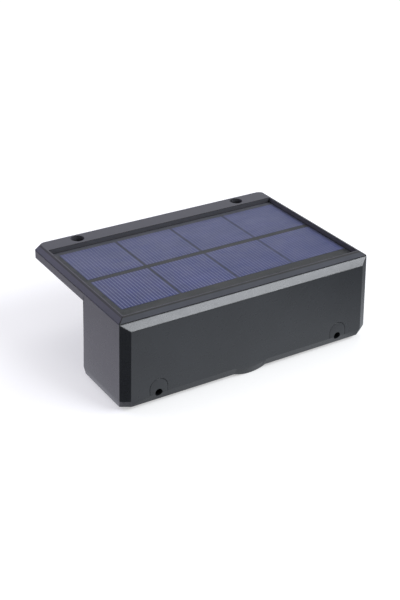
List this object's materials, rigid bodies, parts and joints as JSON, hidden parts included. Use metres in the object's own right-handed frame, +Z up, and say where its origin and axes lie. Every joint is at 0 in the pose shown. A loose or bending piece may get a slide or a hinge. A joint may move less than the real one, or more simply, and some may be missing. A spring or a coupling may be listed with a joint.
{
  "type": "solar fence light",
  "caption": "L-shaped solar light that sits on a fence's top edge: sloping-edged panel frame on a rear flange, box in front with a downward diffuser and push switch.",
  "frame": {"origin": "under the middle of the light, level with its lowest point, the arched lip", "axes": "+X to the right as seen from the front, +Y towards the fence, +Z up"},
  "size_m": [0.1524, 0.0992, 0.0508],
  "materials": {
    "black_plastic": "fine moulded texture, satin",
    "frame_plastic": "fine moulded texture, satin",
    "panel_backing": "dark grey board",
    "silicon": "dark blue-violet with light fingers",
    "clear_resin": "clear, slightly satin",
    "silicone": "soft, matt",
    "zinc_steel": "zinc plated",
    "black_steel": "black oxide",
    "frosted": "frosted, translucent",
    "white_plastic": "white, glossy",
    "holder_plastic": "black, plain",
    "cell_wrap": "plain shrink wrap",
    "nickel": "nickel plated spring steel",
    "green_board": "solder mask",
    "white_board": "white solder mask",
    "led_white": "phosphor in a white package",
    "ferrite": "ferrite",
    "can": "capacitor can",
    "chip": "moulded epoxy",
    "switch_black": "moulded",
    "button_rubber": "matt",
    "red_wire": "insulation",
    "black_wire": "insulation"
  },
  "bodies": {
    "light": {"housing": "black_plastic", "solar_frame": "frame_plastic", "frame_screws": "black_steel", "panel_board": "panel_backing", "solar_cells": "silicon", "panel_resin": "clear_resin", "panel_sealant": "silicone", "lamp_cover": "black_plastic", "cover_screws": "black_steel", "cover_gasket": "silicone", "diffuser_lens": "frosted", "reflector": "white_plastic", "led_board": "white_board", "led_packages": "led_white", "reflector_screws": "zinc_steel", "led_board_screws": "zinc_steel", "push_switch": "switch_black", "button_seal": "silicone", "control_board": "green_board", "board_screws": "zinc_steel", "board_coil": "ferrite", "board_capacitor": "can", "board_chips": "chip", "battery_holder": "holder_plastic", "holder_screws": "zinc_steel", "battery_cells": "cell_wrap", "bridge_contact": "nickel", "terminal_contacts": "nickel", "panel_lead_red": "red_wire", "panel_lead_black": "black_wire", "battery_lead_red": "red_wire", "battery_lead_black": "black_wire", "led_lead_red": "red_wire", "led_lead_black": "black_wire"},
    "button": {"switch_button": "button_rubber", "switch_plunger": "white_plastic"}
  },
  "joints": [
    {"name": "button_press", "type": "slide", "parent": "light", "child": "button", "axis": [0, 0, 1], "range_m": [0, 0.0012], "stiffness_N_per_m": 600, "springref_m": -0.0015}
  ]
}
